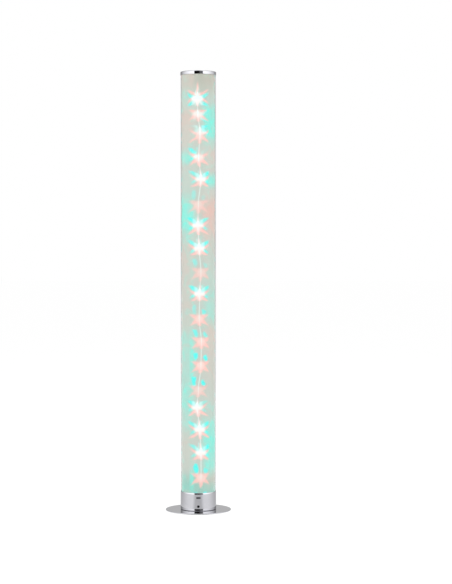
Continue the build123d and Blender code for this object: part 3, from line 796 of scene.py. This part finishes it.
for wash, weight in (
    (left_wash, eased(x_mm, 2.0, -26.0)),
    (right_wash, eased(x_mm, 0.0, 26.0)),
    (inner_wash, eased(abs(x_mm + 15.0), 7.5, 1.0)),
):
    stops = [(share, (cyan, pink, 0.0, 1.0)) for share, cyan, pink in wash]
    cyan_share, pink_share, _ = looked_up(wash_place, "EASE", stops)
    cyan_wash.append(cyan_share * weight)
    pink_wash.append(pink_share * weight)
mottle = eased(grain(place, 30.0, 2.0), 0.25, 0.7, 0.6, 1.1)
cyan_cloud = (cyan_wash[0] + cyan_wash[1] + cyan_wash[2]) * mottle
pink_cloud = (pink_wash[0] + pink_wash[1] + pink_wash[2]) * mottle
# Small faint patches lie all over: cyan ones as spots, pink ones in slanting bands.
patch_scale, patch_strength = 48.0, 0.22
slant = (x_mm + y_mm + z_mm) * (1.3 * mm / 3)
cyan_cloud = cyan_cloud + eased(grain(place, patch_scale, 2.0), 0.54, 0.7) * patch_strength
pink_cloud = pink_cloud + eased(grain(slant, patch_scale, 2.0), 0.54, 0.7) * patch_strength

# The film's milky colour, with painted shade at its unlit top, more on its right, and a
# darker, greener painted shade at its foot; then the painted washes, the two painted
# stars and the painted white, one over the other.
top_shade = eased(z_mm, 935.0, 985.0) * eased(x_mm, -30.0, 10.0, 0.4, 1.0)
foot_shade = eased(z_mm, 105.0, 60.0)
milk_with_painted_shade = mixed(top_shade, milk_middle, painted_shade_top)
milk_with_painted_shade = mixed(foot_shade, milk_with_painted_shade, painted_shade_foot)
colour = mixed(cyan_cloud.maths("MINIMUM", cyan_cloud, 1.0), milk_with_painted_shade, wash_cyan)
colour = mixed(pink_cloud.maths("MINIMUM", pink_cloud, 1.0), colour, wash_pink)
colour = mixed(cyan_mask, colour, star_cyan)
colour = mixed(pink_mask, colour, star_pink)
white = core_mask + streak + pale_middle * 0.35 + cyan_mask * pink_mask * 0.6
white = white.maths("MINIMUM", white, 1.0)
core_tint = mixed(eased(above, -7.0, 5.0), white_below, white_above)
colour = mixed(white, colour, core_tint)

# Most of this painted light goes into the film's glow, and the rest is painted into its
# base colour.
glow_share = 0.62
painted_light_base = colour.node("VectorMath", {"operation": "SCALE"}, {0: colour, "Scale": 1 - glow_share})
painted_light_base.into(shader.inputs["Base Color"])
colour.into(shader.inputs["Emission Color"])
shader.inputs["Emission Strength"].default_value = glow_share
prisms = place.node("TexVoronoi", {"feature": "F1"}, {"Vector": place, "Scale": 900.0})
(0.28 + prisms * 0.2).into(shader.inputs["Roughness"])


def open_tube(name, radius, low, high, wall_thickness):
    """An open upright tube on the lamp's axis; its wall lies inside the radius."""
    piece = cylinder(name, radius, low, high, film_segments)
    bpy.ops.object.mode_set(mode="EDIT")
    pick(piece, "faces", is_level)
    bpy.ops.mesh.delete(type="ONLY_FACE")
    bpy.ops.object.mode_set(mode="OBJECT")
    wall = piece.modifiers.new("wall", "SOLIDIFY")
    wall.thickness = wall_thickness
    wall.offset = -1.0
    apply_modifiers(piece)
    smooth_shell(piece)
    return piece


film_sleeve = open_tube("star_sleeve", film_radius, film_bottom, film_top, film_thickness)

# On the map, the outside of the sleeve takes most of the width and the inside a narrow
# strip beside it. The lower rim is a narrow band above them, the upper one a step higher.
outside_start, outside_width = 0.0, 0.94
inside_start, inside_width = 0.95, 0.045
wall_start, wall_height = 0.005, 0.96
rims_start, rim_step, rim_height = 0.972, 0.014, 0.01
while film_sleeve.data.uv_layers:
    film_sleeve.data.uv_layers.remove(film_sleeve.data.uv_layers[0])
chart = film_sleeve.data.uv_layers.new(name="OFBake")
for face in film_sleeve.data.polygons:
    middle = atan2(face.center.x, -face.center.y)
    outwards = face.normal.x * face.center.x + face.normal.y * face.center.y > 0
    for corner in face.loop_indices:
        point = film_sleeve.data.vertices[film_sleeve.data.loops[corner].vertex_index].co
        turn = atan2(point.x, -point.y)
        turn += 2 * pi * round((middle - turn) / (2 * pi))
        turn_share = turn / (2 * pi) + 0.5
        rise = (point.z - film_bottom) / (film_top - film_bottom)
        across_map = outside_start + outside_width * turn_share
        up_map = wall_start + wall_height * rise
        if is_level(face):
            inset = (film_radius - hypot(point.x, point.y)) / film_thickness
            up_map = rims_start + rim_step * rise + rim_height * inset
        elif not outwards:
            across_map = inside_start + inside_width * turn_share
        chart.data[corner].uv = (across_map, up_map)
finish_piece(film_sleeve, star_film, "star_film", "star_film")


# Clear tube.
# Stock 80 mm extruded acrylic with a 1.5 mm wall, sawn and polished at both ends. It
# stands in the lower moulding, and the upper one closes it.
tube_radius = 40.0 * mm
tube_wall = 1.5 * mm
tube_bottom = 39.7 * mm
tube_top = 1003.0 * mm
clear_acrylic, shader, place = new_finish("clear extruded acrylic", 0.12)
shader.inputs["Base Color"].default_value = paint(250, 253, 252)
# A low index, so that the wall bends the view of the film only a little.
shader.inputs["IOR"].default_value = 1.12
shader.inputs["Transmission Weight"].default_value = 1.0
# Shadow rays pass straight through, so that light reaches the film behind it.
output = clear_acrylic.node_tree.nodes["Material Output"]
shadow_ray = place.node("LightPath", {}, {}, "Is Shadow Ray")
clear = place.node("BsdfTransparent", {}, {})
glass = Wire(clear_acrylic.node_tree, shader.outputs[0])
place.node("MixShader", {}, {0: shadow_ray, 1: glass, 2: clear}).into(output.inputs["Surface"])

tube = open_tube("clear_tube", tube_radius, tube_bottom, tube_top, tube_wall)
finish_piece(tube, clear_acrylic, "clear_acrylic", "acrylic_tube")


# Cap.
# Drawn from 0.8 mm steel and chromed like the cup, with a soft round edge. It is
# pushed over the tube's end and hides the upper moulding.
cap_bottom = 997.2 * mm
cap_top = 1005.0 * mm
cap_edge = 1.6 * mm
cap_foot_edge = 0.2 * mm
cap_sheet = 0.8 * mm
cap = cylinder("chrome_cap", cup_radius, cap_bottom, cap_top)
bpy.ops.object.mode_set(mode="EDIT")
pick(cap, "edges", level_ring(cup_radius, cap_top))
bpy.ops.mesh.bevel(offset=cap_edge, segments=8, profile=0.5, affect="EDGES")
hollow(cap, cap_bottom, cup_radius - inner_radius, cap_top - cap_sheet - cap_bottom)
pick(cap, "edges", level_ring(cup_radius, cap_bottom))
bpy.ops.mesh.bevel(offset=cap_foot_edge, segments=3, profile=0.5, affect="EDGES")
bpy.ops.object.mode_set(mode="OBJECT")
smooth_shell(cap)
finish_piece(cap, chrome, "chrome", "top_cap")


# Floor.
# A wide white paper floor. The camera and acrylic see it white, metal sees a painted glow
# on it, and it keeps a little of the lamp's shadow.
floor_size = 60.0
bpy.ops.object.select_all(action="DESELECT")
bpy.ops.mesh.primitive_plane_add(size=floor_size, location=(0, 0, 0))
floor = bpy.context.object
floor.name = "studio_floor"
paper, shader, place = new_finish("white paper floor", 0.9)
shader.inputs["Base Color"].default_value = (0.8, 0.8, 0.8, 1.0)
shader.inputs["Specular IOR Level"].default_value = 0.0
paths = place.node("LightPath", {}, {}, "Is Camera Ray")
glossy = paths.out("Is Glossy Ray")
clear_ray = paths.out("Is Transmission Ray")
direct = paths.maths("MAXIMUM", paths, paths.maths("MAXIMUM", glossy, clear_ray))
# Metal mirrors a painted glow on the paper, dimmer in front and behind than at the sides
# of the lamp.
spot = place.node("SeparateXYZ", {}, {0: place})
bearing = spot.maths("ARCTAN2", spot.out("X"), 0.0 - spot.out("Y")) * (180 / pi)
off_centre = abs(bearing + 1.0)
mirrored = 0.82 + eased(off_centre, 13.0, 35.0) * 0.56 - eased(off_centre, 48.0, 135.0) * 0.64
strength = (1.0 - glossy) * 1.1 + glossy * mirrored
glow = place.node("Emission", {}, {"Color": (1.0, 1.0, 1.0, 1.0), "Strength": strength})
sheet = Wire(paper.node_tree, shader.outputs[0])
glow_cover = 0.85
shown = place.node("MixShader", {}, {0: direct * glow_cover, 1: sheet, 2: glow})
shown.into(paper.node_tree.nodes["Material Output"].inputs["Surface"])
floor.data.materials.append(paper)


# Studio.
# White all round for the camera and the acrylic. Metal mirrors black cards in front,
# bright soft boxes at both sides and grey flags behind them.
world = bpy.data.worlds.new("studio")
bpy.context.scene.world = world
world.use_nodes = True
background = world.node_tree.nodes["Background"]
way = Wire(world.node_tree).node("TexCoord", {}, {}, "Generated")
part = way.node("SeparateXYZ", {}, {0: way})
bearing = part.maths("ARCTAN2", part.out("X"), 0.0 - part.out("Y")) * (180 / pi)
side_way = abs(bearing)
climb = part.maths("ARCSINE", part.out("Z")) * (180 / pi)


def band(value, low_end, low, high, high_end):
    """1 where value is from low to high, and 0 from low_end down and high_end up."""
    return eased(value, low_end, low) * eased(value, high_end, high)


# All in degrees: bearings from straight in front to the right, and heights as climbs.
low_strip = band(climb, 0.5, 4.0, 8.0, 14.0)
card_height = eased(climb, 12.5, 11.0)
soft_box = band(side_way, 20.0, 30.0, 40.0, 150.0) * (0.62 + low_strip * 0.38)
black_card = band(bearing, -27.0, -23.0, 7.5, 11.5)
grey_card = band(bearing, 7.5, 11.5, 28.0, 33.0)
flag = band(side_way, 116.0, 136.0, 156.0, 166.0)
wall_light, box_light, flag_dark, grey_light, fill_light = 0.63, 1.6, 0.2, 0.24, 0.5
mirror_light = wall_light + soft_box * box_light - flag * flag_dark
mirror_light = mirror_light * (1.0 - black_card * card_height * 0.995)
mirror_light = mirror_light + (grey_light - mirror_light) * grey_card * card_height
mirror_light = mirror_light * (1.0 - eased(climb, -15.0, -35.0) * 0.5)
mirror_light = mirror_light * (1.0 + eased(climb, 50.0, 70.0) * 0.4)
paths = way.node("LightPath", {}, {}, "Is Camera Ray")
glossy = paths.out("Is Glossy Ray")
plain = paths.maths("MAXIMUM", paths, paths.out("Is Transmission Ray")) * (1.0 - glossy)
strength = plain + glossy * mirror_light + (1.0 - plain) * (1.0 - glossy) * fill_light
strength.into(background.inputs["Strength"])
background.inputs["Color"].default_value = (1.0, 1.0, 1.0, 1.0)


# Four square lamps that light the object, face its middle and are seen by nothing.
lamp_aim = (0, 0, 0.5)
for name, stand, size, power in (
    ("left box", (-2.2, -2.4, 1.9), 1.8, 60),
    ("right box", (2.4, -2.0, 1.6), 1.8, 50),
    ("top box", (0.2, 0.6, 3.4), 2.0, 50),
    ("back box", (-0.6, 3.0, 1.6), 1.8, 40),
):
    data = bpy.data.lights.new(name, "AREA")
    data.size = size
    data.energy = power
    lamp = bpy.data.objects.new(name, data)
    bpy.context.scene.collection.objects.link(lamp)
    lamp.location = stand
    away = [from_here - to_there for from_here, to_there in zip(stand, lamp_aim)]
    flat = hypot(away[0], away[1])
    lamp.rotation_euler = (atan2(flat, away[2]), 0, atan2(away[0], -away[1]))
    lamp.visible_camera = False
    lamp.visible_glossy = False
    lamp.visible_transmission = False


# Camera.
# It stands 3.8 m in front and 0.6 m up with a long lens, and looks a little down and a
# little to the right, as the photograph does.
camera_place = (0, -3.84, 0.595)
look_down, look_right = 1.39, 0.948
camera_data = bpy.data.cameras.new("camera")
camera_data.lens = 103.19
camera_data.sensor_width = 36.0
camera = bpy.data.objects.new("camera", camera_data)
bpy.context.scene.collection.objects.link(camera)
camera.location = camera_place
camera.rotation_euler = (radians(90 - look_down), 0, radians(-look_right))
bpy.context.scene.camera = camera
bpy.context.scene.view_settings.view_transform = "Standard"
